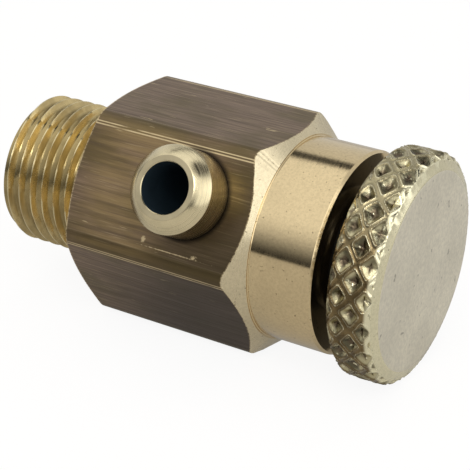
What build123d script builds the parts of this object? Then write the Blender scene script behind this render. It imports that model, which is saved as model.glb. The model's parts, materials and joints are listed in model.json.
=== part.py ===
from build123d import *
import os
from math import atan, cos, degrees, pi, sin, sqrt

# Manual air bleed valve, turned from hexagon brass bar. Millimetres.
# X runs along the valve from the inlet thread to the knob, Z is up, and the
# origin is on the axis at the shoulder that the inlet thread screws up to.
# The valve is drawn shut, with the ball on its seat.

# Inlet thread, drawn plain at its major diameter
thread_diameter = 9.728
thread_length = 6.75
thread_lead_in = 0.4
inlet_bore = 5.0

# Hexagon
across_flats = 13.7
hex_length = 12.75
hex_corner_radius = 1.1
hex_face_diameter = 12.6
rear_chamfer_slope = 0.45
collar_chamfer_slope = 0.8

# Collar at the knob end
collar_diameter = 12.75
collar_length = 4.15
collar_edge_break = 0.15
collar_root_diameter = 13.0

# Seat, chamber and stem hole
seat_orifice = 1.8
seat_land = 1.6
seat_cone_width = 0.4
chamber_bore = 6.0
chamber_depth = 6.8

# Outlet spout, pressed into one flat a little above the middle of it
spout_from_collar = 4.6
spout_off_middle = 0.55
spout_diameter = 5.35
spout_bore = 3.1
spout_height = 2.9
spout_chamfer = 0.72
spigot_diameter = 4.4
spigot_length = 2.2

# Knob and spindle, one turned piece
stem_diameter = 8.0
stem_shoulder_gap = 0.3
knob_gap = 1.15
knob_overhang = 0.32
knob_thickness = 3.15
knob_face_diameter = 12.4
knob_rear_diameter = 13.0
knob_rear_slope = 0.8
knob_front_slope = 0.8
knob_shoulder_drop = 0.45
knob_front_chamfer = 0.2
nose_diameter = 4.0

# Diamond knurl round the knob: four-sided pits in staggered rows
knurl_count = 22
knurl_rows = 4
knurl_row_spacing = 0.85
knurl_first_row = 0.35
knurl_depth = 0.4
knurl_fill = 0.78

# Ball in the spindle's nose, ground flat at the back
ball_diameter = 3.0
ball_back = 0.75
ball_clearance = 0.04
ball_lip_reach = 0.6
ball_lip_overlap = 0.08
seat_gap = 0.03

# Stem seal, a square rubber ring in a groove
seal_land = 0.4
seal_width = 1.2
seal_depth = 1.0
seal_clearance = 0.02

# Fits
stem_clearance = 0.05

# Stations along the axis
collar_root = hex_length
collar_end = collar_root + collar_length
spout_station = collar_root - spout_from_collar
chamber_end = collar_root
seat_face = chamber_end - chamber_depth
inlet_end = seat_face - seat_land
ball_station = seat_face - seat_orifice / 2 - seat_cone_width + (ball_diameter / 2 + seat_gap) * sqrt(2)
nose_end = ball_station - ball_lip_reach
land_start = spout_station + spout_bore / 2 + stem_clearance
groove_start = land_start + seal_land
groove_end = groove_start + seal_width + 2 * seal_clearance
stem_start = chamber_end + stem_shoulder_gap
knob_start = collar_end + knob_gap
knob_end = knob_start + knob_thickness
knob_radius = across_flats / 2 + knob_overhang
knob_shoulder = knob_end - knob_front_chamfer
rear_bevel_end = knob_start + (knob_radius - knob_rear_diameter / 2) * knob_rear_slope

# The flat that carries the spout faces forward and up; its frame has x along the valve
flat_normal = Vector(0, -1, 0).rotate(Axis.X, -30)
flat_across = flat_normal.cross(Vector(1, 0, 0))
flat_middle = Vector(spout_station, 0, 0) + flat_normal * (across_flats / 2)
spout_plane = Plane(flat_middle + flat_across * spout_off_middle, x_dir=(1, 0, 0), z_dir=flat_normal)


def turned(*profile):
    """A solid of revolution about X, from (station, radius) points that run off and back to the axis."""
    stations = [point[0] for point in profile]
    outline = [(stations[0], 0), *profile, (stations[-1], 0)]
    return revolve(Plane.XZ * make_face(Polyline(*outline, close=True)), Axis.X)


def valve_body():
    """Hexagon bar with the inlet thread's shank, the collar, the seat and the side port."""
    hexagon = RegularPolygon(across_flats / 2, 6, major_radius=False)
    bar = extrude(Plane.YZ * fillet(hexagon.vertices(), hex_corner_radius), hex_length)
    rise = across_flats - hex_face_diameter / 2
    root_rise = across_flats - collar_root_diameter / 2
    chamfers = turned(
        (0, hex_face_diameter / 2),
        (rise * rear_chamfer_slope, across_flats),
        (hex_length - root_rise * collar_chamfer_slope, across_flats),
        (hex_length, collar_root_diameter / 2),
    )
    shank = turned(
        (-thread_length, thread_diameter / 2 - thread_lead_in),
        (-thread_length + thread_lead_in, thread_diameter / 2),
        (0, thread_diameter / 2),
    )
    collar = turned(
        (collar_root, collar_diameter / 2),
        (collar_end - collar_edge_break, collar_diameter / 2),
        (collar_end, collar_diameter / 2 - collar_edge_break),
    )
    stem_hole = stem_diameter / 2 + stem_clearance
    passage = turned(
        (-thread_length, inlet_bore / 2),
        (inlet_end, inlet_bore / 2),
        (inlet_end, seat_orifice / 2),
        (seat_face - seat_cone_width, seat_orifice / 2),
        (seat_face, seat_orifice / 2 + seat_cone_width),
        (seat_face, chamber_bore / 2),
        (chamber_end, chamber_bore / 2),
        (chamber_end, stem_hole),
        (collar_end, stem_hole),
    )
    port = spout_plane * extrude(Circle(spout_bore / 2), -across_flats / 2)
    socket = spout_plane * extrude(Circle(spigot_diameter / 2), -spigot_length)
    return (bar & chamfers) + shank + collar - passage - port - socket


def outlet_spout():
    """Turned tube whose shoulder sits on the flat and whose spigot is pressed into the socket."""
    half = spout_diameter / 2
    outline = Polyline(
        (spout_bore / 2, -spigot_length),
        (spigot_diameter / 2, -spigot_length),
        (spigot_diameter / 2, 0),
        (half, 0),
        (half, spout_height - spout_chamfer),
        (half - spout_chamfer, spout_height),
        (spout_bore / 2, spout_height),
        close=True,
    )
    return spout_plane * revolve(Plane.XZ * make_face(outline), Axis.Z)


def knob_blank():
    """The knob before knurling: bevelled at the back and front, with a chamfered face."""
    return turned(
        (knob_start, knob_rear_diameter / 2),
        (rear_bevel_end, knob_radius),
        (knob_shoulder - knob_shoulder_drop * knob_front_slope, knob_radius),
        (knob_shoulder, knob_radius - knob_shoulder_drop),
        (knob_end, knob_face_diameter / 2),
    )


def rim_place(behind):
    """Place on the knob's rim, square to its surface, at a distance back from the knurl's first row."""
    first = knob_shoulder - knurl_first_row
    past = behind - (first - rear_bevel_end)
    if past <= 0:
        return Pos(first - behind, 0, knob_radius)
    lean = atan(1 / knob_rear_slope)
    return Pos(rear_bevel_end - past * cos(lean), 0, knob_radius - past * sin(lean)) * Rot(Y=-degrees(lean))


def knurl_pits():
    """Four-sided pits that taper to a point, one for each tooth of the knurling wheel."""
    half_round = knurl_fill * pi * knob_radius / knurl_count
    half_along = knurl_fill * knurl_row_spacing
    mouth = Polygon((half_along, 0), (0, half_round), (-half_along, 0), (0, -half_round), align=None)
    pit = loft([mouth, Vertex(0, 0, -knurl_depth)], ruled=True)
    pits = []
    for row in range(knurl_rows):
        place = rim_place(row * knurl_row_spacing)
        start = 180 / knurl_count * (row % 2)
        for step in range(knurl_count):
            pits.append(Rot(X=start + step * 360 / knurl_count) * place * pit)
    return pits


def knob_spindle():
    """Knurled knob, threaded stem, seal land and the nose that holds the ball, from one bar."""
    knob = knob_blank() - knurl_pits()
    stem = turned(
        (nose_end, nose_diameter / 2),
        (land_start, nose_diameter / 2),
        (land_start, chamber_bore / 2 - stem_clearance),
        (groove_start, chamber_bore / 2 - stem_clearance),
        (groove_start, chamber_bore / 2 - seal_depth),
        (groove_end, chamber_bore / 2 - seal_depth),
        (groove_end, chamber_bore / 2 - stem_clearance),
        (stem_start, chamber_bore / 2 - stem_clearance),
        (stem_start, stem_diameter / 2),
        (knob_start, stem_diameter / 2),
    )
    pocket = ball_diameter / 2 + ball_clearance
    ball_recess = turned(
        (nose_end, ball_diameter / 2 - ball_lip_overlap),
        (ball_station, pocket),
        (ball_station + ball_back + ball_clearance, pocket),
    )
    return knob + stem - ball_recess


def stem_seal():
    """Square rubber ring in the spindle's groove, filling the space to the bore."""
    inner = chamber_bore / 2 - seal_depth + seal_clearance
    outer = chamber_bore / 2 - seal_clearance
    section = Rectangle(seal_width, outer - inner)
    place = Pos((groove_start + groove_end) / 2, (inner + outer) / 2)
    return revolve(Plane.XZ * place * section, Axis.X)


def seat_ball():
    """Steel ball, swaged loosely into the spindle's nose, that shuts the seat and takes the thrust on its flat."""
    half = ball_diameter / 2
    front = (ball_station - half, 0)
    side = (ball_station, half)
    edge = (ball_station + ball_back, sqrt(half**2 - ball_back**2))
    outline = ThreePointArc(front, side, edge) + Polyline(edge, (ball_station + ball_back, 0), front)
    return revolve(Plane.XZ * make_face(outline), Axis.X)


pieces = {
    "valve_body": valve_body,
    "outlet_spout": outlet_spout,
    "knob_spindle": knob_spindle,
    "stem_seal": stem_seal,
    "seat_ball": seat_ball,
}

os.makedirs("parts", exist_ok=True)
for name, make in pieces.items():
    export_step(make(), f"parts/{name}.step")
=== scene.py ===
"""A small brass air bleed valve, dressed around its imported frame: hexagon body with the inlet thread,
turned outlet spout, and knurled knob on its spindle, on a white studio floor."""

import json
import math

import bmesh
import bpy
from bpy.props import FloatProperty, FloatVectorProperty, IntProperty, PointerProperty
from mathutils import Matrix, Vector, noise


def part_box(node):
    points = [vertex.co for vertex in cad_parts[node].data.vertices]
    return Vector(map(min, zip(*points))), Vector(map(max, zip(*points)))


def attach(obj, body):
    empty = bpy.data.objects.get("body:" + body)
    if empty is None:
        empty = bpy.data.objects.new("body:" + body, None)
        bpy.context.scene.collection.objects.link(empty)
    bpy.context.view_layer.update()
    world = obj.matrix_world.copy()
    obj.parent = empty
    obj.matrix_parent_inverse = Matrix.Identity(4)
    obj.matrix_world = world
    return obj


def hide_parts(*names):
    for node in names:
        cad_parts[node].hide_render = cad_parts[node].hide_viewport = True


bl_info = {
    "name": "Air bleed valve",
    "version": (1, 0, 0),
    "blender": (4, 5, 0),
    "location": "3D View > Sidebar > Valve",
    "description": "Builds a brass air bleed valve around its packed frame",
    "category": "Add Mesh",
}

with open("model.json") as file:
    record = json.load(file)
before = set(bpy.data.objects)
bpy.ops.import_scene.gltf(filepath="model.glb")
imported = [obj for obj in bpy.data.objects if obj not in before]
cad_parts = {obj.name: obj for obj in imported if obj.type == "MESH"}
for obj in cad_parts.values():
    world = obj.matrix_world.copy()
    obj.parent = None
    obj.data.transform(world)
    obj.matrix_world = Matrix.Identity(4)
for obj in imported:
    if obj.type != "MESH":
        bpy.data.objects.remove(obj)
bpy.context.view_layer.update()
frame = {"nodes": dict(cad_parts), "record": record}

MM = 0.001
FULL_TURN = 2 * math.pi
SECTOR = math.radians(60)
ALONG = Vector((1, 0, 0))
# Columns and rings of the turned meshes
BODY_COLUMNS = 192
THREAD_RINGS = 90
HEX_RINGS = 41
COLLAR_RINGS = 6
SPOUT_COLUMNS = 96
STEM_RINGS = 40
PIT_GRID = 28
# Fine steps that measure the rim's outline, and more of them than it has room for
RIM_STEP = 0.001 * MM
RIM_STEPS = 6000
# How far the knurl's pits stray, and the width of a pit's lip, as shares of a pit's room
PIT_DRIFT = 0.07
LIP_SHARE = 1 / 14
# Seed of the noise by which the pits stray, which follows the clock if it isn't set
KNURL_SEED = 4
# Lengths over which the knurl gives way to the bevel by the face, and the rim's roughness
BEVEL_RISE = 0.25 * MM
BEVEL_FADE = 0.2 * MM
RIM_GRAIN = 0.04 * MM
# Material places of the body and of the knob
SKIN, TURNED, THREAD, PORT, CHAMFER = range(5)
KNURL, RIM, FACE, STEM = range(4)
# Noise in the bar's skin: scale per millimetre along and across the bar, detail, roughness
SKIN_NOISE = {
    "streak": (0.1, 5.0, 5.0, 0.75),
    "patch": (0.16, 0.3, 3.0, 0.6),
    "scratch": (0.05, 9.0, 3.0, 0.6),
    "fleck": (2.5, 6.0, 3.0, 0.7),
    "hair": (0.4, 14.0, 2.0, 0.6),
    "wear_and_highlight": (0.35, 3.0, 4.0, 0.65),
    "nick": (0.6, 5.0, 2.0, 0.5),
    "rub": (0.08, 2.4, 5.0, 0.7),
    "chip": (7.0, 7.0, 3.0, 0.7),
}
# Layers over the bar's skin: noise, the values between which it changes, its strength at each, colour
SKIN_LAYERS = (
    ("patch", 0.42, 0.66, 0, 0.75, "skin_olive"),
    ("hair", 0.3, 0.5, 0.6, 0, "skin_dark"),
    ("hair", 0.58, 0.73, 0, 0.3, "bright"),
    ("scratch", 0.68, 0.76, 0, 0.5, "bright"),
    ("fleck", 0.7, 0.78, 0, 0.35, "bright"),
    ("nick", 0.71, 0.75, 0, 0.55, "bright"),
)
# Lines by the bar's corners, painted highlight broken up by wear: place and half width on the rounding, wear
# between which they change, strengths
CORNER_LINES = ((0.04, 0.1, 0.3, 0.5, 0.05, 0.9), (0.34, 0.09, 0.32, 0.5, 0, 0.8))
# Painted shade on the bar low down towards the collar, and painted shadow round the spout's foot, as shares
# of the dark skin's colour
LOW_SHADE_SHARE = 0.4
SPOUT_FOOT_SHADE = 0.08
# Chips and a scratch on the spout's flat: along and up from its foot, half length, half width, in millimetres
MARKS = ((-2.1, -3.25, 0.14, 0.17), (1.5, -3.5, 0.17, 0.1), (-0.1, -3.6, 1.9, 0.03))
PHOTO_SIDE = 470
SENSOR = 36.0
CLIP = (0.005, 10)
FLOOR_HALF = 1.5
# How far the floor glows white for the camera and for the brass that mirrors it, and how brightly
CAMERA_SHARE = 0.75
MIRROR_SHARE = 0.2
GLOW = 1.215
# The studio's bright panel at the right, and its dark patch overhead
PANEL_LEVEL = 1.5
DARK_LEVEL = 0.05
DARK_SIDE = (0.4, 0.15, 0.9)
KEY_PLACE = Vector((0.12, -0.2, 0.25))
KEY_SIDE = 0.15
KEY_POWER = 0.25

mounts = {mount["name"]: mount for mount in frame["record"]["mounts"]}
body_low, body_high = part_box("valve_body")
knob_low, knob_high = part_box("knob_spindle")
spout_axis = Vector(mounts["outlet_spout"]["axis"])
spout_tip = Vector(mounts["outlet_bore"]["pos_m"])


def mount_radius(name):
    """A round mount's radius in metres."""
    return mounts[name]["dims"]["r_mm"] * MM


# Settings


def length(name, default, description):
    """A length in metres that the panel shows in the scene's unit."""
    return FloatProperty(
        name=name, description=description, default=default, subtype="DISTANCE", unit="LENGTH", precision=5
    )


def tilt(name, degrees, description):
    """An angle, given in degrees."""
    return FloatProperty(
        name=name, description=description, default=math.radians(degrees), subtype="ANGLE"
    )


def plain(name, default, description):
    """A number with no unit."""
    return FloatProperty(name=name, description=description, default=default, precision=4)


def colour(name, default, description):
    """A linear colour."""
    return FloatVectorProperty(
        name=name, description=description, default=default, subtype="COLOR", size=3, min=0, max=1
    )


class BodySizes(bpy.types.PropertyGroup):
    """The hexagon bar with its thread, collar and passage. Stations run from the thread's shoulder."""

    thread_radius: length("Thread radius", mount_radius("inlet_thread"), "Over the inlet thread's crests")
    thread_length: length("Thread length", -body_low.x, "From the shoulder to the thread's end")
    thread_pitch: length("Thread pitch", 0.907 * MM, "Distance between the inlet thread's crests")
    thread_depth: length("Thread depth", 0.42 * MM, "From crest to root")
    crest_power: plain("Crest power", 3.0, "How narrow the thread's crests are against its worn roots")
    thread_lead_in: length("Thread lead-in", 0.4 * MM, "Chamfer at the thread's end")
    thread_run_out: length("Thread run-out", 0.7 * MM, "Stretch by the shoulder where the thread dies out")
    flats: length("Across flats", body_high.z - body_low.z, "Hexagon's size across its flats")
    hex_length: length("Hexagon length", 12.75 * MM, "From the shoulder to the collar")
    corner_radius: length("Corner radius", 1.1 * MM, "Rounding of the drawn bar's corners")
    face_radius: length("Shoulder radius", 6.3 * MM, "Where the shoulder's chamfer starts")
    rear_slope: plain("Shoulder chamfer slope", 0.45, "Length of the chamfer over its rise")
    root_radius: length("Collar root radius", 6.5 * MM, "Where the collar end's chamfer starts")
    root_slope: plain("Collar chamfer slope", 0.8, "Length of the chamfer over its rise")
    collar_radius: length("Collar radius", 6.375 * MM, "Outside of the collar")
    collar_end: length("Collar end", body_high.x, "Station of the collar's end face")
    edge_break: length("Edge break", 0.15 * MM, "Chamfer on the collar's outer edge")
    bore_radius: length("Inlet bore radius", mount_radius("inlet_bore"), "Hole through the inlet thread")
    bore_end: length("Inlet bore end", 4.35 * MM, "Station where the inlet bore steps down to the seat")
    orifice_radius: length("Seat hole radius", 0.9 * MM, "Hole in the seat")
    seat: length("Seat station", 5.95 * MM, "Station of the seat's face")
    chamber_radius: length("Chamber radius", 3.0 * MM, "Chamber behind the seat")
    stem_hole_radius: length("Stem hole radius", 4.05 * MM, "Hole in the collar for the stem")
    burr: length("Edge burr", 0.05 * MM, "How ragged the hexagon's turned edge is")


class SpoutSizes(bpy.types.PropertyGroup):
    """The outlet spout, along its own axis from the flat that it stands on."""

    radius: length("Radius", mount_radius("outlet_spout"), "Outside of the spout")
    bore_radius: length("Bore radius", mount_radius("outlet_bore"), "Hole through the spout")
    height: length("Height", 2.9 * MM, "From the flat to the lip")
    chamfer: length("Chamfer", 0.72 * MM, "Chamfer round the lip")
    spigot_radius: length("Spigot radius", 2.2 * MM, "Part that is pressed into the body")
    spigot_length: length("Spigot length", 2.2 * MM, "Depth of the spigot's socket")
    edge_round: length("Edge rounding", 0.05 * MM, "Rounding of the spout's edges")
    port_depth: length("Port depth", 3.4 * MM, "Depth of the body's port below the flat")


class KnobSizes(bpy.types.PropertyGroup):
    """The knob and its spindle, along the valve's axis."""

    radius: length("Radius", (knob_high.z - knob_low.z) / 2, "Over the knurl's ridges")
    start: length("Back station", 18.05 * MM, "Station of the knob's back")
    end: length("Face station", knob_high.x, "Station of the knob's face")
    rear_radius: length("Back radius", 6.5 * MM, "Edge of the knob's back")
    face_radius: length("Face radius", 6.2 * MM, "Edge of the knob's face")
    bevel_slope: plain("Bevel slope", 0.8, "Length of the rim's bevels over their rise")
    shoulder_drop: length("Shoulder drop", 0.45 * MM, "Fall from the rim to the face's chamfer")
    face_chamfer: length("Face chamfer", 0.2 * MM, "Length of the chamfer round the face")
    pits: IntProperty(name="Knurl pits", description="Pits in one turn of the knurl", default=22)
    row_spacing: length("Knurl row spacing", 0.85 * MM, "Distance between rows of pits")
    first_row: length("First row", 0.35 * MM, "From the face's chamfer to the first row")
    pit_depth: length("Pit depth", 0.42 * MM, "Depth of a pit below the rim")
    pit_fill: plain("Pit fill", 9.5 / 14, "Share of its room that a pit takes")
    lip: length("Pit lip", 0.045 * MM, "Height of the ridge that the knurling wheel raised round a pit")
    rim_round: length("Rim rounding", 0.15 * MM, "Rounding between the rim and its bevels")
    stem_radius: length("Stem radius", 4.0 * MM, "Over the stem's thread")
    stem_start: length("Stem start", 13.05 * MM, "Station where the stem's thread starts")
    stem_pitch: length("Stem pitch", 0.75 * MM, "Lead of the stem's thread")
    stem_depth: length("Stem thread depth", 0.4 * MM, "From crest to root")
    land_radius: length("Seal land radius", 2.95 * MM, "Land on each side of the seal's groove")
    land_start: length("Seal land start", 9.75 * MM, "Station where the seal's land starts")
    groove_radius: length("Groove radius", 2.0 * MM, "Floor of the seal's groove")
    groove_start: length("Groove start", 10.15 * MM, "Station where the seal's groove starts")
    groove_width: length("Groove width", 1.24 * MM, "Width of the seal's groove")
    nose_radius: length("Nose radius", 2.0 * MM, "Outside of the nose that holds the ball")
    nose: length("Nose station", knob_low.x, "Station of the nose's end")
    ball_station: length("Ball station", 6.814 * MM, "Centre of the ball")
    pocket_depth: length("Pocket depth", 0.79 * MM, "From the ball's centre to the pocket's end")
    pocket_radius: length("Pocket radius", 1.54 * MM, "Pocket that holds the ball")
    lip_radius: length("Lip radius", 1.42 * MM, "Lip that keeps the ball in")


class Finishes(bpy.types.PropertyGroup):
    """Colours of the valve's metals and of the stage."""

    skin: colour("Drawn skin", (0.31, 0.214, 0.14), "Dull brown skin of the hexagon's flats")
    skin_dark: colour("Dark skin", (0.12, 0.084, 0.055), "Darker streaks in the skin")
    skin_olive: colour("Olive skin", (0.135, 0.1, 0.038), "Olive patches in the skin")
    rubbed: colour("Rubbed skin", (0.43, 0.3, 0.135), "Warm streaks where the spout's flat is rubbed")
    bright: colour("Bright brass", (0.78, 0.62, 0.36), "Freshly turned brass")
    thread: colour("Thread brass", (0.79, 0.62, 0.3), "Yellower brass of the thread")
    spout: colour("Spout brass", (0.82, 0.71, 0.45), "Greenish brass of the spout")
    knurl: colour("Knurl brass", (0.25, 0.18, 0.085), "Dull brass between the knurl's pits")
    pit: colour("Pit brass", (0.6, 0.54, 0.33), "Greenish brass in the knurl's pits")
    # Near black as painted shade: the stem and the knob's back sit in the dark gap by the collar.
    stem: colour("Stem", (0.07, 0.065, 0.055), "Greasy stem and back of the knob")
    strip: colour("Bevel brass", (0.95, 0.89, 0.62), "Pale brass of the knob's bevel and the thread's crests")
    chamfer: colour("Chamfer brass", (0.8, 0.69, 0.46), "Pale brass of the hexagon's chamfer")
    # Near black as painted shade: the outlet's bore and the port inside the body.
    bore: colour("Bore", (0.035, 0.06, 0.08), "Dark inside of the outlet")
    face: colour("Knob face", (0.95, 0.9, 0.75), "Matt grey brass of the knob's face")
    speck: colour("Specks", (0.08, 0.05, 0.02), "Dark specks on turned brass")
    face_speck: colour("Face specks", (0.15, 0.12, 0.08), "Specks on the knob's face")
    rubber: colour("Rubber", (0.02, 0.02, 0.02), "Hidden seal")
    steel: colour("Steel", (0.6, 0.6, 0.62), "Hidden ball")
    floor: colour("Floor", (0.42, 0.4, 0.37), "Plain pale floor, as the brass mirrors it")


class StageSizes(bpy.types.PropertyGroup):
    """The camera, which stands where the photograph was taken."""

    azimuth: tilt("Azimuth", 30.53, "Camera's turn round the valve")
    elevation: tilt("Elevation", 26.68, "Camera's height over the horizon")
    roll: tilt("Roll", -1.11, "Camera's lean")
    distance: length("Distance", 100.9 * MM, "From the camera to the point that it looks at")
    aim: FloatVectorProperty(
        name="Aim", description="Point that the camera looks at", default=(8.11 * MM, 0, -1.15 * MM),
        subtype="TRANSLATION", unit="LENGTH", size=3, precision=5
    )
    focal_pixels: plain("Focal length", 1597.0, "Focal length in pixels of the photograph")


class ValveSettings(bpy.types.PropertyGroup):
    """Everything that the panel lists."""

    body: PointerProperty(type=BodySizes)
    spout: PointerProperty(type=SpoutSizes)
    knob: PointerProperty(type=KnobSizes)
    finish: PointerProperty(type=Finishes)
    stage: PointerProperty(type=StageSizes)


# Turned shapes


def at(station, radius):
    """A ring that is a plain circle."""
    return lambda angle: (station, radius)


def lathe(rings, steps, column=lambda angle: angle, closed=False):
    """A bmesh turned about X. Each ring gives its station and radius at an angle from +Z towards -Y."""
    bm = bmesh.new()
    layer = bm.verts.layers.int.new("ring")
    profile = []
    for index, ring in enumerate(rings):
        station, radius = ring(0.0)
        vert = bm.verts.new((station, 0, max(radius, MM)))
        vert[layer] = index
        profile.append(vert)
    ends = profile[1:] + profile[:1] if closed else profile[1:]
    for first, second in zip(profile, ends):
        bm.edges.new((first, second))
    bmesh.ops.spin(
        bm, geom=bm.verts[:] + bm.edges[:], cent=(0, 0, 0), axis=(1, 0, 0),
        angle=FULL_TURN, steps=steps, use_merge=True
    )
    for vert in bm.verts:
        angle = column(math.atan2(-vert.co.y, vert.co.z))
        station, radius = rings[vert[layer]](angle)
        vert.co = (station, -radius * math.sin(angle), radius * math.cos(angle))
    poles = [vert for vert in bm.verts if math.hypot(vert.co.y, vert.co.z) < 1e-9]
    bmesh.ops.remove_doubles(bm, verts=poles, dist=1e-9)
    bmesh.ops.recalc_face_normals(bm, faces=bm.faces[:])
    return bm, layer


def finish_piece(bm, name, materials, body, node, sharp):
    """Makes a bmesh the piece that stands for a node, with its materials and sharp edges."""
    mesh = bpy.data.meshes.new(name)
    bm.to_mesh(mesh)
    bm.free()
    for material in materials:
        mesh.materials.append(material)
    mesh.polygons.foreach_set("use_smooth", [True] * len(mesh.polygons))
    mesh.set_sharp_from_angle(angle=math.radians(sharp))
    piece = bpy.data.objects.new(name, mesh)
    bpy.context.scene.collection.objects.link(piece)
    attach(piece, body)
    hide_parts(node)


def spread(low, high, count):
    """Evenly spaced numbers from low to high, both included."""
    return [low + (high - low) * step / (count - 1) for step in range(count)]


def smooth(value):
    """A soft step from 0 to 1."""
    value = min(max(value, 0.0), 1.0)
    return value * value * (3 - 2 * value)


# Body


def flat_angle(angle):
    """An angle's distance from the middle of the flat that it falls on."""
    return angle - SECTOR * round(angle / SECTOR)


def corner_start(sizes):
    """Angle from a flat's middle to where the corner's rounding starts."""
    half = sizes.flats / 2
    return math.atan((half - sizes.corner_radius) * math.tan(SECTOR / 2) / half)


def hex_radius(angle, sizes):
    """Distance from the axis to the hexagon's outside."""
    turn = abs(flat_angle(angle))
    half = sizes.flats / 2
    if turn <= corner_start(sizes):
        return half / math.cos(turn)
    middle = (half - sizes.corner_radius) / math.cos(SECTOR / 2)
    lean = SECTOR / 2 - turn
    return middle * math.cos(lean) + math.sqrt(sizes.corner_radius**2 - (middle * math.sin(lean)) ** 2)


def hex_column(sizes):
    """Moves evenly spaced columns so that half of them fall on the rounded corners."""
    start = corner_start(sizes)
    quarter = SECTOR / 4

    def column(angle):
        turn = flat_angle(angle)
        size = abs(turn)
        if size <= quarter:
            moved = size / quarter * start
        else:
            moved = start + (size - quarter) / quarter * (SECTOR / 2 - start)
        return angle - turn + math.copysign(moved, turn)

    return column


def thread_ring(station, sizes):
    """A ring across the inlet thread, with its lead-in and the run-out by the shoulder."""

    def ring(angle):
        phase = station / sizes.thread_pitch - angle / FULL_TURN
        crest = (0.5 + 0.5 * math.cos(FULL_TURN * phase)) ** sizes.crest_power
        cut = smooth(-station / sizes.thread_run_out)
        radius = sizes.thread_radius - sizes.thread_depth * (1 - cut * crest)
        start = sizes.thread_radius - sizes.thread_lead_in
        return station, min(radius, start + station + sizes.thread_length)

    return ring


def hex_ring(share, sizes):
    """A ring round the hexagon, a share of the way between its two chamfers."""

    def ring(angle):
        radius = hex_radius(angle, sizes)
        ragged = noise.noise(Vector((math.sin(angle) * 40, math.cos(angle) * 40, share)))
        low = sizes.rear_slope * (radius - sizes.face_radius)
        high = sizes.hex_length - sizes.root_slope * (radius - sizes.root_radius)
        high += sizes.burr * ragged * (share == 1)
        return low + (high - low) * share, radius

    return ring


def body_rings(sizes):
    """The body's rings from the inlet bore's mouth, along the outside and back through the passage."""
    end = -sizes.thread_length
    root = 0.05 * MM
    thread = [thread_ring(station, sizes) for station in spread(end, 0, THREAD_RINGS)]
    plain_end = sizes.collar_end - sizes.edge_break
    collar = spread(sizes.hex_length + 2 * root, plain_end, COLLAR_RINGS)
    hexagon = [hex_ring(share, sizes) for share in (0, *spread(0.008, 0.992, HEX_RINGS), 1)]
    before = [at(end, sizes.bore_radius + root), *thread, at(0, sizes.face_radius)]
    after = [
        at(sizes.hex_length, sizes.root_radius),
        at(sizes.hex_length, sizes.collar_radius + root),
        at(sizes.hex_length + root, sizes.collar_radius),
        *[at(station, sizes.collar_radius) for station in collar],
        at(sizes.collar_end, sizes.collar_radius - sizes.edge_break),
        at(sizes.collar_end, sizes.stem_hole_radius + sizes.edge_break),
        at(plain_end, sizes.stem_hole_radius),
        at(sizes.hex_length, sizes.stem_hole_radius),
        at(sizes.hex_length, sizes.chamber_radius),
        at(sizes.seat, sizes.chamber_radius),
        at(sizes.seat, sizes.orifice_radius),
        at(sizes.bore_end, sizes.orifice_radius),
        at(sizes.bore_end, sizes.bore_radius),
        at(end + root, sizes.bore_radius),
    ]
    first = len(before)
    return before + hexagon + after, first, first + len(hexagon) - 1


def spout_seat(sizes):
    """Middle of the spout's shoulder, on its flat."""
    return spout_tip - spout_axis * sizes.height


def cut_port(bm, sizes):
    """Opens the spout's socket in its flat, with a blind port below it."""
    seat = spout_seat(sizes)

    def away(point):
        offset = point - seat
        return offset - spout_axis * offset.dot(spout_axis)

    inside = [
        face
        for face in bm.faces
        if face.normal.dot(spout_axis) > 0.99
        and abs((face.calc_center_median() - seat).dot(spout_axis)) < 0.1 * MM
        and away(face.calc_center_median()).length < sizes.spigot_radius
    ]
    bmesh.ops.delete(bm, geom=inside, context="FACES")
    outside = set(bm.faces)
    rim = [edge for edge in bm.edges if edge.is_boundary]
    steps = ((0, sizes.spigot_radius), (sizes.spigot_length, sizes.spigot_radius),
             (sizes.spigot_length, sizes.bore_radius), (sizes.port_depth, sizes.bore_radius))
    for number, (depth, radius) in enumerate(steps):
        if number:
            made = bmesh.ops.extrude_edge_only(bm, edges=rim)["geom"]
            rim = [item for item in made if isinstance(item, bmesh.types.BMEdge) and item.is_boundary]
        for vert in {vert for edge in rim for vert in edge.verts}:
            vert.co = seat - spout_axis * depth + away(vert.co).normalized() * radius
    bmesh.ops.contextual_create(bm, geom=rim)
    for face in bm.faces:
        if face not in outside:
            face.material_index = PORT


# Knob


def stem_ring(station, sizes):
    """A ring across the stem's thread."""

    def ring(angle):
        phase = station / sizes.stem_pitch - angle / FULL_TURN
        return station, sizes.stem_radius - sizes.stem_depth * (0.5 - 0.5 * math.cos(FULL_TURN * phase))

    return ring


def rim_line(distance, sizes):
    """Point of the rim's outline, as station and radius, at a distance along it from the knob's back."""
    radius = sizes.radius - sizes.lip
    shoulder = sizes.end - sizes.face_chamfer
    drop = sizes.radius - sizes.shoulder_drop
    corners = (
        Vector((sizes.start, sizes.rear_radius)),
        Vector((sizes.start + (radius - sizes.rear_radius) * sizes.bevel_slope, radius)),
        Vector((shoulder - (radius - drop) * sizes.bevel_slope, radius)),
        Vector((shoulder, drop)),
    )
    for first, second in zip(corners, corners[1:]):
        span = (second - first).length
        if distance <= span:
            return first + (second - first) * max(distance, 0) / span
        distance -= span
    return corners[-1]


def rim_distances(sizes):
    """Distances of the rim's rings from the knob's back, on the knurl's grid, and that of the first row."""
    first_station = sizes.end - sizes.face_chamfer - sizes.first_row
    outline = [rim_line(step * RIM_STEP, sizes) for step in range(RIM_STEPS)]
    end = next(step for step, point in enumerate(outline) if point == outline[-1]) * RIM_STEP
    first = next(step for step, point in enumerate(outline) if point.x >= first_station) * RIM_STEP
    gap = 2 * sizes.row_spacing / PIT_GRID
    steps = range(-int(first / gap), int((end - first) / gap) + 1)
    inner = [first + step * gap for step in steps if gap / 3 < first + step * gap < end - gap / 3]
    return [0.0, *inner, end], first


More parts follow.
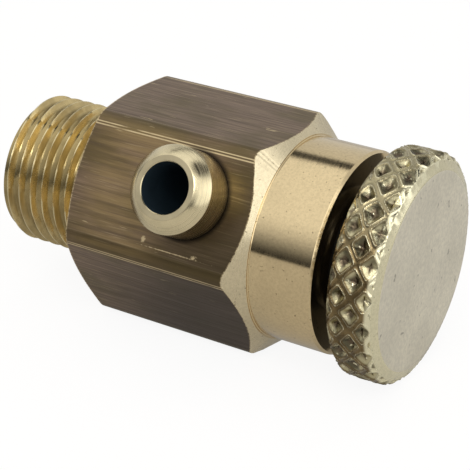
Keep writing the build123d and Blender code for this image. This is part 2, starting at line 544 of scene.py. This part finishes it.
def knurl_form(behind, angle, sizes):
    """Height of the knurl over the rim, and how far the spot is in a pit and on a pit's lip."""
    along = behind / (2 * sizes.row_spacing)
    around = angle * sizes.pits / FULL_TURN
    drift = noise.noise_vector(Vector((behind / MM * 1.2, 9 * math.sin(angle), 9 * math.cos(angle))))
    one, other = around + along + PIT_DRIFT * drift.x, around - along + PIT_DRIFT * drift.y
    own = noise.cell(Vector((round(one) % sizes.pits, round(other) % sizes.pits, 0.5)))
    across, down = abs(one - round(one)), abs(other - round(other))
    room = 2 * (across**6 + down**6) ** (1 / 6) + 0.1 * (own - 0.5)
    pit = min(max(1 - room / sizes.pit_fill, 0.0), 0.9)
    lip = max(1 - abs(room - sizes.pit_fill - LIP_SHARE) / LIP_SHARE, 0.0)
    ditch = smooth((room - sizes.pit_fill) / (1 - sizes.pit_fill))
    height = sizes.lip * (lip - 0.9 * ditch) - sizes.pit_depth * pit * (0.85 + 0.3 * own)
    return height, pit, lip


def past_knurl(behind):
    """How far a spot is on the plain bevel past the knurl's first row."""
    return smooth(behind / BEVEL_FADE - 2)


def rim_ring(distance, first, sizes):
    """A ring across the knurled rim, square to its rounded outline."""
    reach = sizes.rim_round
    before = rim_line(distance - reach, sizes)
    after = rim_line(distance + reach, sizes)
    base = (before + after) / 4 + rim_line(distance, sizes) / 2
    along = (after - before).normalized()
    fade = smooth(distance / (2 * reach)) * (1 - past_knurl(distance - first))

    def ring(angle):
        height, pit, _ = knurl_form(distance - first, angle, sizes)
        rough = noise.noise(Vector((base.x / MM * 4, math.sin(angle) * 30, math.cos(angle) * 30)))
        height = fade * height + RIM_GRAIN * rough * (0.25 + pit)
        return base.x - along.y * height, min(base.y + along.x * height, sizes.radius)

    return ring


def knob_rings(sizes):
    """The knob's rings from the bottom of the ball's pocket, along the spindle and over the rim."""
    pocket_end = sizes.ball_station + sizes.pocket_depth
    groove_end = sizes.groove_start + sizes.groove_width
    stem = [stem_ring(station, sizes) for station in spread(sizes.stem_start, sizes.start, STEM_RINGS)]
    distances, first_row = rim_distances(sizes)
    rim = [rim_ring(distance, first_row, sizes) for distance in distances]
    soft = 0.04 * MM
    spindle = [
        at(pocket_end, 0),
        at(pocket_end, sizes.pocket_radius),
        at(sizes.ball_station, sizes.pocket_radius),
        at(sizes.nose, sizes.lip_radius),
        at(sizes.nose, sizes.nose_radius),
        at(sizes.land_start, sizes.nose_radius),
        at(sizes.land_start, sizes.land_radius),
        at(sizes.groove_start, sizes.land_radius),
        at(sizes.groove_start, sizes.groove_radius),
        at(groove_end, sizes.groove_radius),
        at(groove_end, sizes.land_radius),
        at(sizes.stem_start, sizes.land_radius),
    ]
    shoulder = sizes.radius - sizes.shoulder_drop
    face = [
        at(sizes.end - sizes.face_chamfer, shoulder - soft),
        at(sizes.end - soft, sizes.face_radius + soft),
        at(sizes.end, sizes.face_radius - soft),
        *[at(sizes.end, sizes.face_radius * share) for share in (0.95, 0.8, 0.6, 0.4, 0.2, 0)],
    ]
    first = len(spindle) + len(stem)
    return spindle + stem + rim + face, first, first + len(rim) - 1


# Materials


def add(tree, kind, inputs=(), **settings):
    """A new node with its settings, and its inputs given as values or as sockets to link."""
    node = tree.nodes.new(kind)
    for name, value in settings.items():
        setattr(node, name, value)
    for key, value in dict(inputs).items():
        if isinstance(value, bpy.types.NodeSocket):
            tree.links.new(value, node.inputs[key])
        else:
            node.inputs[key].default_value = value
    return node


def metal(name, rough, metallic=1.0):
    """A new metal with its node tree and shader."""
    material = bpy.data.materials.new(name)
    material.use_nodes = True
    shader = material.node_tree.nodes["Principled BSDF"]
    shader.inputs["Metallic"].default_value = metallic
    shader.inputs["Roughness"].default_value = rough
    return material, material.node_tree, shader


def calc(tree, operation, *values):
    """A number worked out from numbers or sockets."""
    return add(tree, "ShaderNodeMath", enumerate(values), operation=operation).outputs[0]


def times(tree, one, other):
    """Two numbers multiplied."""
    return calc(tree, "MULTIPLY", one, other)


def vector(tree, operation, one, other):
    """A vector worked out from two others."""
    return add(tree, "ShaderNodeVectorMath", {0: one, 1: other}, operation=operation).outputs["Vector"]


def measure(tree, operation, *values):
    """A number worked out from vectors."""
    return add(tree, "ShaderNodeVectorMath", enumerate(values), operation=operation).outputs["Value"]


def painted(tree, name):
    """A number that the mesh carries at its vertices."""
    return add(tree, "ShaderNodeAttribute", attribute_name=name).outputs["Fac"]


def coordinates(tree, kind="Object"):
    """The piece's own coordinates, or another kind."""
    return add(tree, "ShaderNodeTexCoord").outputs[kind]


def split(tree, where):
    """A vector's X, Y and Z."""
    return add(tree, "ShaderNodeSeparateXYZ", {"Vector": where}).outputs


def grain(tree, scale, detail, rough):
    """Noise on the piece's own coordinates, with its scale per millimetre along X, Y and Z."""
    per_metre = [value / MM for value in scale]
    spot = add(tree, "ShaderNodeMapping", {"Vector": coordinates(tree), "Scale": per_metre}).outputs["Vector"]
    return add(
        tree, "ShaderNodeTexNoise", {"Vector": spot, "Scale": 1.0, "Detail": detail, "Roughness": rough}
    ).outputs["Fac"]


def even_grain(tree, scale, detail=2.0, rough=0.5):
    """Noise with the same scale per millimetre all ways."""
    return grain(tree, (scale, scale, scale), detail, rough)


def ramp(tree, factor, low, high, start=0.0, end=1.0):
    """A soft step between two values of a factor."""
    return add(
        tree, "ShaderNodeMapRange",
        {"Value": factor, "From Min": low, "From Max": high, "To Min": start, "To Max": end},
        interpolation_type="SMOOTHSTEP",
    ).outputs["Result"]


def stripe(tree, value, middle, half):
    """A soft line where a value is near its middle."""
    away = calc(tree, "ABSOLUTE", calc(tree, "SUBTRACT", value, middle))
    return ramp(tree, away, half * 0.3, half, 1, 0)


def dimmed(tone, share):
    """A colour made darker."""
    return [value * share for value in tone]


def blend(tree, factor, one, other):
    """A mix of two colours."""
    node = add(tree, "ShaderNodeMix", data_type="RGBA")
    for socket, value in ((node.inputs[0], factor), (node.inputs[6], one), (node.inputs[7], other)):
        if isinstance(value, bpy.types.NodeSocket):
            tree.links.new(value, socket)
        else:
            socket.default_value = (*value, 1.0)
    return node.outputs[2]


def coat(tree, shader, base, rough=None):
    """Gives the shader its colour, and its roughness where that varies."""
    tree.links.new(base, shader.inputs["Base Color"])
    if rough is not None:
        tree.links.new(rough, shader.inputs["Roughness"])


def bumped(tree, shader, height, distance, strength):
    """Gives the shader a bump from a height."""
    bump = add(tree, "ShaderNodeBump", {"Height": height, "Distance": distance, "Strength": strength})
    tree.links.new(bump.outputs["Normal"], shader.inputs["Normal"])


def mark(tree, where, ragged, place, reach):
    """How far a spot is inside a chip or scratch with ragged edges."""
    offset = vector(tree, "SUBTRACT", where, place)
    away = measure(tree, "LENGTH", vector(tree, "DIVIDE", offset, reach))
    inside = calc(tree, "MULTIPLY_ADD", ragged, -3.0, away)
    return ramp(tree, inside, -1.0, -0.2, 0.7, 0)


def skin_tone(tree, noises, colours):
    """The bar's brown, with fine streaks along it, olive patches, scratches and nicks."""
    base = blend(tree, ramp(tree, noises["streak"], 0.12, 0.88), colours.skin_dark, colours.skin)
    for name, low, high, start, end, tone in SKIN_LAYERS:
        base = blend(tree, ramp(tree, noises[name], low, high, start, end), base, getattr(colours, tone))
    return base


def skin_shade(tree, base, noises, colours):
    """Paints shade on the bar low down by the collar, makes the spout's flat warm at the thread's end, and
    paints shade on that flat towards the collar.
    """
    place = split(tree, coordinates(tree))
    # Painted shade: darker low down and towards the collar.
    below = calc(tree, "MULTIPLY_ADD", place["Z"], -0.5 / body_high.z, 0.5)
    low_shade = ramp(tree, times(tree, place["X"], below), 0, 6.5 * MM, 0, 0.8)
    base = blend(tree, low_shade, base, dimmed(colours.skin_dark, LOW_SHADE_SHARE))
    toward = measure(tree, "DOT_PRODUCT", coordinates(tree, "Normal"), spout_axis)
    front = ramp(tree, toward, 0.8, 0.95)
    rubbed = times(tree, front, stripe(tree, place["X"], 4 * MM, 4 * MM))
    rubbed = times(tree, rubbed, ramp(tree, noises["rub"], 0.34, 0.66, 0.05, 0.6))
    base = blend(tree, rubbed, base, colours.rubbed)
    # Painted shade on the spout's flat towards the collar.
    shaded = times(tree, front, ramp(tree, place["X"], 6 * MM, 11 * MM, 0, 0.4))
    return blend(tree, shaded, base, dimmed(colours.skin_olive, 0.6))


def skin_wear_and_painted_light(tree, base, noises, colours, spout):
    """Adds painted highlight lines by the corners, broken up by wear, painted shadow round the spout's foot,
    chips, and bright turned edges.
    """
    corner = painted(tree, "corner")
    base = blend(tree, ramp(tree, corner, 0.02, 0.2, 0, 0.45), base, colours.skin_olive)
    # Painted highlight: the lines are strong on one edge of each corner, the lower one on the side that faces
    # the camera, and broken up by wear.
    wear_and_highlight = times(tree, noises["wear_and_highlight"], ramp(tree, painted(tree, "highlight_side"), 0, 1, 0.25, 1))
    for middle, half, low, high, start, end in CORNER_LINES:
        line = times(tree, stripe(tree, corner, middle, half), ramp(tree, wear_and_highlight, low, high, start, end))
        base = blend(tree, line, base, colours.bright)
    where = coordinates(tree)
    seat = spout_seat(spout)
    away = measure(tree, "DISTANCE", where, seat)
    # Painted shadow in the crease round the spout's foot.
    foot_shade = ramp(tree, away, spout.radius, spout.radius * 1.14, 0.9, 0)
    base = blend(tree, foot_shade, base, dimmed(colours.skin_dark, SPOUT_FOOT_SHADE))
    upward = spout_axis.cross(ALONG)
    for along, up, long, wide in MARKS:
        spot = seat + (ALONG * along + upward * up) * MM
        chip = mark(tree, where, noises["chip"], spot, Vector((long, wide, wide)) * MM)
        base = blend(tree, chip, base, colours.bright)
    edge = times(tree, painted(tree, "end"), ramp(tree, noises["fleck"], 0.35, 0.6))
    return blend(tree, edge, base, colours.bright)


def drawn_skin(colours, spout):
    """The bar's dull drawn skin."""
    material, tree, shader = metal("drawn_skin", 0.4, 0.85)
    noises = {
        name: grain(tree, (along, across, across), detail, rough)
        for name, (along, across, detail, rough) in SKIN_NOISE.items()
    }
    base = skin_tone(tree, noises, colours)
    base = skin_shade(tree, base, noises, colours)
    base = skin_wear_and_painted_light(tree, base, noises, colours, spout)
    coat(tree, shader, base, ramp(tree, noises["streak"], 0.25, 0.75, 0.46, 0.32))
    bumped(tree, shader, noises["scratch"], 0.01 * MM, 0.5)
    return material


def turned_brass(name, colours, tone, rough=0.1):
    """Bright turned brass with fine tool lines round the axis, faint stains and small dark specks."""
    material, tree, shader = metal(name, rough)
    line = grain(tree, (9.0, 0.02, 0.02), 4.0, 0.7)
    speck = even_grain(tree, 5.0)
    stain = even_grain(tree, 0.35, 3.0)
    fine = even_grain(tree, 6.0, 3.0, 0.7)
    base = blend(tree, ramp(tree, stain, 0.35, 0.7, 0, 0.35), tone, dimmed(tone, 0.8))
    base = blend(tree, ramp(tree, fine, 0.3, 0.65, 0.4, 0), base, dimmed(tone, 0.65))
    base = blend(tree, ramp(tree, speck, 0.68, 0.74, 0, 0.6), base, colours.speck)
    coat(tree, shader, base, ramp(tree, line, 0.2, 0.8, rough * 0.7, rough * 1.5))
    bumped(tree, shader, line, 0.006 * MM, 0.6)
    return material


def thread_brass(colours):
    """The thread's yellow brass, dark down in its root and rubbed bright along its crest."""
    material, tree, shader = metal("thread_brass", 0.25)
    root = painted(tree, "root")
    stain = even_grain(tree, 0.5, 4.0, 0.6)
    base = blend(tree, ramp(tree, stain, 0.3, 0.7), colours.thread, dimmed(colours.thread, 0.65))
    base = blend(tree, ramp(tree, root, 0.6, 1.0, 0, 0.5), base, colours.skin_olive)
    base = blend(tree, ramp(tree, root, 0.0, 0.1, 0.6, 0), base, colours.strip)
    coat(tree, shader, base, ramp(tree, stain, 0.3, 0.7, 0.2, 0.36))
    bumped(tree, shader, even_grain(tree, 5.0, 3.0), 0.01 * MM, 0.5)
    return material


def turned_spout(colours):
    """The spout's greenish brass, with coarse tool lines round its axis."""
    material, tree, shader = metal("spout_brass", 0.22)
    along = measure(tree, "DOT_PRODUCT", coordinates(tree), spout_axis / MM)
    line = add(
        tree, "ShaderNodeTexNoise", {"W": along, "Scale": 7.0, "Detail": 4.0, "Roughness": 0.7},
        noise_dimensions="1D",
    ).outputs["Fac"]
    stain = even_grain(tree, 0.6, 3.0)
    base = blend(tree, ramp(tree, stain, 0.35, 0.7), colours.spout, dimmed(colours.spout, 0.75))
    base = blend(tree, ramp(tree, line, 0.55, 0.7, 0, 0.35), base, colours.skin_dark)
    coat(tree, shader, base, ramp(tree, line, 0.3, 0.7, 0.16, 0.32))
    bumped(tree, shader, line, 0.01 * MM, 0.6)
    return material


def knurl_brass(colours):
    """Rolled knurl: brown between the pits, greenish in them with painted shade deep down and painted glints,
    paler ridges near the knob's top as painted highlight, and bright on lips and the front bevel.
    """
    material, tree, shader = metal("knurl_brass", 0.3)
    pit = painted(tree, "pit")
    bevel = painted(tree, "bevel")
    stain = even_grain(tree, 1.2, 4.0)
    mood = even_grain(tree, 0.9, 1.0)
    base = blend(tree, ramp(tree, stain, 0.35, 0.65), colours.knurl, dimmed(colours.knurl, 0.55))
    inside = blend(tree, ramp(tree, mood, 0.38, 0.62), dimmed(colours.pit, 0.25), colours.pit)
    base = blend(tree, ramp(tree, pit, 0.02, 0.2), base, inside)
    # Painted shade deep in the pits.
    base = blend(tree, ramp(tree, pit, 0.3, 0.8, 0, 0.85), base, colours.skin_dark)
    # Painted highlight: the ridges between the pits are paler towards the knob's top.
    height = split(tree, coordinates(tree))["Z"]
    ridge = times(tree, ramp(tree, height, 3 * MM, 7 * MM), ramp(tree, pit, 0, 0.15, 0.6, 0))
    base = blend(tree, ridge, base, colours.pit)
    glint = ramp(tree, even_grain(tree, 3.2, 2.0, 0.6), 0.62, 0.68, 0, 0.8)
    spark = times(tree, glint, ramp(tree, pit, 0.15, 0.35))
    base = blend(tree, spark, base, colours.strip)
    lip = ramp(tree, painted(tree, "lip"), 0.3, 0.9)
    worn = times(tree, lip, ramp(tree, stain, 0.35, 0.65, 1, 0.7))
    base = blend(tree, worn, base, colours.strip)
    base = blend(tree, bevel, base, colours.strip)
    coat(tree, shader, base, ramp(tree, stain, 0.3, 0.7, 0.12, 0.34))
    rough = times(tree, even_grain(tree, 5.0, 4.0, 0.7), ramp(tree, bevel, 0, 1, 1, 0))
    bumped(tree, shader, rough, 0.05 * MM, 0.6)
    return material


def face_brass(colours):
    """The knob's matt face, with faint stains and a few specks."""
    material, tree, shader = metal("face_brass", 0.45)
    stain = even_grain(tree, 0.2, 4.0, 0.6)
    speck = even_grain(tree, 2.2, 1.0)
    fine = even_grain(tree, 4.0, 3.0, 0.7)
    base = blend(tree, ramp(tree, stain, 0.3, 0.7), colours.face, dimmed(colours.face, 0.85))
    base = blend(tree, ramp(tree, fine, 0.3, 0.7, 0.4, 0), base, dimmed(colours.face, 0.6))
    base = blend(tree, ramp(tree, speck, 0.72, 0.78, 0, 0.5), base, colours.face_speck)
    coat(tree, shader, base)
    bumped(tree, shader, fine, 0.006 * MM, 0.5)
    return material


def plain_finish(name, tone, rough, metallic):
    """A hidden piece's simple finish, a little uneven."""
    material, tree, shader = metal(name, rough, metallic)
    stain = even_grain(tree, 1.0)
    coat(tree, shader, blend(tree, ramp(tree, stain, 0.3, 0.7), tone, dimmed(tone, 0.8)))
    return material


# Operators


class VALVE_OT_body(bpy.types.Operator):
    """Makes the hexagon body with its thread, collar and passage"""

    bl_idname = "valve.body"
    bl_label = "Hexagon body"

    def execute(self, context):
        settings = context.scene.valve
        sizes = settings.body
        rings, first, last = body_rings(sizes)
        bm, layer = lathe(rings, BODY_COLUMNS, hex_column(sizes), closed=True)
        corner = bm.verts.layers.float.new("corner")
        root = bm.verts.layers.float.new("root")
        end = bm.verts.layers.float.new("end")
        highlight_side = bm.verts.layers.float.new("highlight_side")
        start = corner_start(sizes)
        for vert in bm.verts:
            turn = flat_angle(math.atan2(-vert.co.y, vert.co.z))
            vert[corner] = (abs(turn) - start) / (SECTOR / 2 - start)
            # Marks the edge of each corner where the painted highlight lines are strong.
            vert[highlight_side] = turn < 0
            vert[end] = vert[layer] in (first, last)
            if vert[layer] < first:
                vert[root] = (sizes.thread_radius - math.hypot(vert.co.y, vert.co.z)) / sizes.thread_depth
        for face in bm.faces:
            index = [vert[layer] for vert in face.verts]
            if min(index) >= first and max(index) <= last:
                face.material_index = SKIN
            elif min(index) == last:
                face.material_index = CHAMFER
            elif max(index) < first - 1:
                face.material_index = THREAD
            else:
                face.material_index = TURNED
        cut_port(bm, settings.spout)
        colours = settings.finish
        finishes = [
            drawn_skin(colours, settings.spout),
            turned_brass("turned_brass", colours, colours.bright),
            thread_brass(colours),
            # Painted shade in the outlet's bore and the port.
            plain_finish("port_painted_shade", colours.bore, 0.5, 0.5),
            turned_brass("chamfer_brass", colours, colours.chamfer, 0.22),
        ]
        finish_piece(bm, "hexagon_body", finishes, "body", "valve_body", 25)
        return {"FINISHED"}


class VALVE_OT_spout(bpy.types.Operator):
    """Makes the outlet spout that is pressed into the front flat"""

    bl_idname = "valve.spout"
    bl_label = "Outlet spout"

    def execute(self, context):
        settings = context.scene.valve
        sizes = settings.spout
        soft = sizes.edge_round
        lip = sizes.radius - sizes.chamfer
        rings = [
            at(-sizes.spigot_length, sizes.bore_radius),
            at(-sizes.spigot_length, sizes.spigot_radius),
            at(0, sizes.spigot_radius),
            at(0, sizes.radius - soft),
            at(soft, sizes.radius),
            at(sizes.height - sizes.chamfer - soft, sizes.radius),
            at(sizes.height - sizes.chamfer + soft, sizes.radius - soft),
            at(sizes.height - soft, lip + soft),
            at(sizes.height, lip - soft),
            at(sizes.height, sizes.bore_radius + soft),
            at(sizes.height - soft, sizes.bore_radius),
        ]
        bm, layer = lathe(rings, SPOUT_COLUMNS, closed=True)
        for face in bm.faces:
            index = {vert[layer] for vert in face.verts}
            face.material_index = int(index == {0, len(rings) - 1})
        seat = spout_seat(sizes)
        across = spout_axis.cross(ALONG)
        place = Matrix((spout_axis, ALONG, -across)).transposed().to_4x4()
        bmesh.ops.transform(bm, matrix=Matrix.Translation(seat) @ place, verts=bm.verts[:])
        bmesh.ops.recalc_face_normals(bm, faces=bm.faces[:])
        finish_piece(
            bm, "spout_tube", [turned_spout(settings.finish), bpy.data.materials["port_painted_shade"]],
            "body", "outlet_spout", 25,
        )
        return {"FINISHED"}


class VALVE_OT_knob(bpy.types.Operator):
    """Makes the knurled knob with its spindle"""

    bl_idname = "valve.knob"
    bl_label = "Knurled knob"

    def execute(self, context):
        settings = context.scene.valve
        sizes = settings.knob
        noise.seed_set(KNURL_SEED)
        rings, first, last = knob_rings(sizes)
        bm, layer = lathe(rings, sizes.pits * PIT_GRID)
        distances, first_row = rim_distances(sizes)
        pit_layer = bm.verts.layers.float.new("pit")
        lip_layer = bm.verts.layers.float.new("lip")
        bevel_layer = bm.verts.layers.float.new("bevel")
        for vert in bm.verts:
            if first <= vert[layer] <= last:
                behind = distances[vert[layer] - first] - first_row
                angle = math.atan2(-vert.co.y, vert.co.z)
                _, vert[pit_layer], vert[lip_layer] = knurl_form(behind, angle, sizes)
                between = smooth(behind / BEVEL_RISE) * (1 - smooth(vert[pit_layer] * 8))
                vert[bevel_layer] = max(between, past_knurl(behind))
        for face in bm.faces:
            index = [vert[layer] for vert in face.verts]
            if max(index) <= first:
                face.material_index = STEM
            elif max(index) <= last:
                face.material_index = KNURL
            elif min(index) >= last + 3:
                face.material_index = FACE
            else:
                face.material_index = RIM
        colours = settings.finish
        finishes = [
            knurl_brass(colours),
            turned_brass("rim_brass", colours, colours.strip, 0.2),
            face_brass(colours),
            # Painted shade on the stem and the knob's back.
            plain_finish("stem_in_painted_shade", colours.stem, 0.4, 0.8),
        ]
        finish_piece(bm, "knurled_knob", finishes, "knob", "knob_spindle", 35)
        return {"FINISHED"}


class VALVE_OT_inner(bpy.types.Operator):
    """Gives the hidden seal and ball their finishes"""

    bl_idname = "valve.inner"
    bl_label = "Seal and ball"

    def execute(self, context):
        colours = context.scene.valve.finish
        finishes = {
            "stem_seal": plain_finish("seal_rubber", colours.rubber, 0.6, 0.0),
            "seat_ball": plain_finish("ball_steel", colours.steel, 0.12, 1.0),
        }
        for node, material in finishes.items():
            mesh = frame["nodes"][node].data
            mesh.materials.clear()
            mesh.materials.append(material)
        return {"FINISHED"}


def camera_turn(stage):
    """The camera's axes as a matrix, and the direction from the aim back to the camera."""
    flat = math.cos(stage.elevation)
    back = Vector((
        math.sin(stage.azimuth) * flat,
        -math.cos(stage.azimuth) * flat,
        math.sin(stage.elevation),
    ))
    right = (-back).cross(Vector((0, 0, 1))).normalized()
    up = back.cross(right)
    side = right * math.cos(stage.roll) - up * math.sin(stage.roll)
    top = up * math.cos(stage.roll) + right * math.sin(stage.roll)
    return Matrix((side, top, back)).transposed(), back


def mix(tree, factor, one, other):
    """A mix of two numbers."""
    return add(tree, "ShaderNodeMix", {0: factor, 2: one, 3: other}).outputs[0]


def studio_world(scene):
    """The studio that the brass mirrors. The front wall brightens upwards, and behind is a dark band
    under a pale ceiling. A bright panel stands at the right, and a dark patch hangs overhead."""
    world = bpy.data.worlds.new("studio")
    scene.world = world
    world.use_nodes = True
    tree = world.node_tree
    where = coordinates(tree, "Generated")
    place = split(tree, where)
    up = place["Z"]
    front_wall = ramp(tree, up, -0.05, 0.7, 0.0, 1.0)
    low_strip = ramp(tree, up, 0.65, 0.68, 0.7, 0.06)
    ceiling = ramp(tree, up, 0.765, 0.79)
    back_wall = calc(tree, "MAXIMUM", low_strip, ceiling)
    level = mix(tree, ramp(tree, place["Y"], 0.1, 0.5), front_wall, back_wall)
    level = mix(tree, ramp(tree, place["X"], 0.7, 0.85), level, PANEL_LEVEL)
    dark = ramp(tree, measure(tree, "DOT_PRODUCT", where, DARK_SIDE), 0.93, 0.97)
    level = mix(tree, dark, level, DARK_LEVEL)
    background = tree.nodes["Background"]
    tree.links.new(level, background.inputs["Strength"])
    background.inputs["Color"].default_value = (1, 1, 1, 1)


def floor_material(colours):
    """White paper: the camera sees it glow white with a faint shadow, and the brass mirrors it mostly as
    it is lit."""
    material = bpy.data.materials.new("white_paper")
    material.use_nodes = True
    tree = material.node_tree
    tree.nodes.clear()
    path = add(tree, "ShaderNodeLightPath").outputs
    mirrored = calc(tree, "MAXIMUM", path["Is Glossy Ray"], path["Is Transmission Ray"])
    faint = times(tree, mirrored, MIRROR_SHARE)
    share = calc(tree, "MULTIPLY_ADD", path["Is Camera Ray"], CAMERA_SHARE, faint)
    paper = add(tree, "ShaderNodeBsdfDiffuse", {"Color": (*colours.floor, 1.0)}).outputs[0]
    glow = add(tree, "ShaderNodeEmission", {"Strength": GLOW}).outputs[0]
    surface = add(tree, "ShaderNodeMixShader", {0: share, 1: paper, 2: glow}).outputs[0]
    add(tree, "ShaderNodeOutputMaterial", {"Surface": surface})
    return material


def softbox(name, place, aim, side, power):
    """A soft square lamp."""
    light = bpy.data.lights.new(name, "AREA")
    light.shape = "SQUARE"
    light.size = side
    light.energy = power
    lamp = bpy.data.objects.new(name, light)
    lamp.location = place
    lamp.rotation_mode = "QUATERNION"
    lamp.rotation_quaternion = (aim - place).to_track_quat("-Z", "Y")
    bpy.context.scene.collection.objects.link(lamp)


class VALVE_OT_stage(bpy.types.Operator):
    """Makes the floor, the studio light and the camera"""

    bl_idname = "valve.stage"
    bl_label = "Stage"

    def execute(self, context):
        scene = context.scene
        settings = scene.valve
        stage = settings.stage
        bm = bmesh.new()
        bmesh.ops.create_grid(bm, x_segments=1, y_segments=1, size=FLOOR_HALF)
        bmesh.ops.translate(bm, vec=(0, 0, knob_low.z), verts=bm.verts[:])
        mesh = bpy.data.meshes.new("floor")
        bm.to_mesh(mesh)
        bm.free()
        mesh.materials.append(floor_material(settings.finish))
        floor = bpy.data.objects.new("floor", mesh)
        scene.collection.objects.link(floor)
        studio_world(scene)
        aim = Vector(stage.aim)
        softbox("key", KEY_PLACE, aim, KEY_SIDE, KEY_POWER)
        scene.view_settings.view_transform = "Standard"
        axes, back = camera_turn(stage)
        data = bpy.data.cameras.new("camera")
        data.sensor_width = SENSOR
        data.lens = stage.focal_pixels / PHOTO_SIDE * SENSOR
        data.clip_start, data.clip_end = CLIP
        camera = bpy.data.objects.new("camera", data)
        camera.rotation_mode = "QUATERNION"
        camera.rotation_quaternion = axes.to_quaternion()
        camera.location = aim + back * stage.distance
        scene.collection.objects.link(camera)
        scene.camera = camera
        return {"FINISHED"}


STEPS = (VALVE_OT_stage, VALVE_OT_body, VALVE_OT_spout, VALVE_OT_knob, VALVE_OT_inner)


class VALVE_PT_panel(bpy.types.Panel):
    """Lists the valve's sizes, finishes and steps"""

    bl_idname = "VALVE_PT_panel"
    bl_label = "Air bleed valve"
    bl_space_type = "VIEW_3D"
    bl_region_type = "UI"
    bl_category = "Valve"

    def draw(self, context):
        settings = context.scene.valve
        for group in (settings.body, settings.spout, settings.knob, settings.finish, settings.stage):
            box = self.layout.box()
            for name in group.bl_rna.properties.keys():
                if name not in ("rna_type", "name"):
                    box.prop(group, name)
        for step in STEPS:
            self.layout.operator(step.bl_idname)


CLASSES = (BodySizes, SpoutSizes, KnobSizes, Finishes, StageSizes, ValveSettings, *STEPS, VALVE_PT_panel)


def register():
    """Adds the add-on's classes and its settings."""
    for item in CLASSES:
        bpy.utils.register_class(item)
    bpy.types.Scene.valve = PointerProperty(type=ValveSettings)


def unregister():
    """Takes the add-on's settings and classes away."""
    del bpy.types.Scene.valve
    for item in reversed(CLASSES):
        bpy.utils.unregister_class(item)


def main():
    """Builds the dressed valve."""
    register()
    bpy.ops.valve.stage()
    bpy.ops.valve.body()
    bpy.ops.valve.spout()
    bpy.ops.valve.knob()
    bpy.ops.valve.inner()


if __name__ == "__main__":
    main()
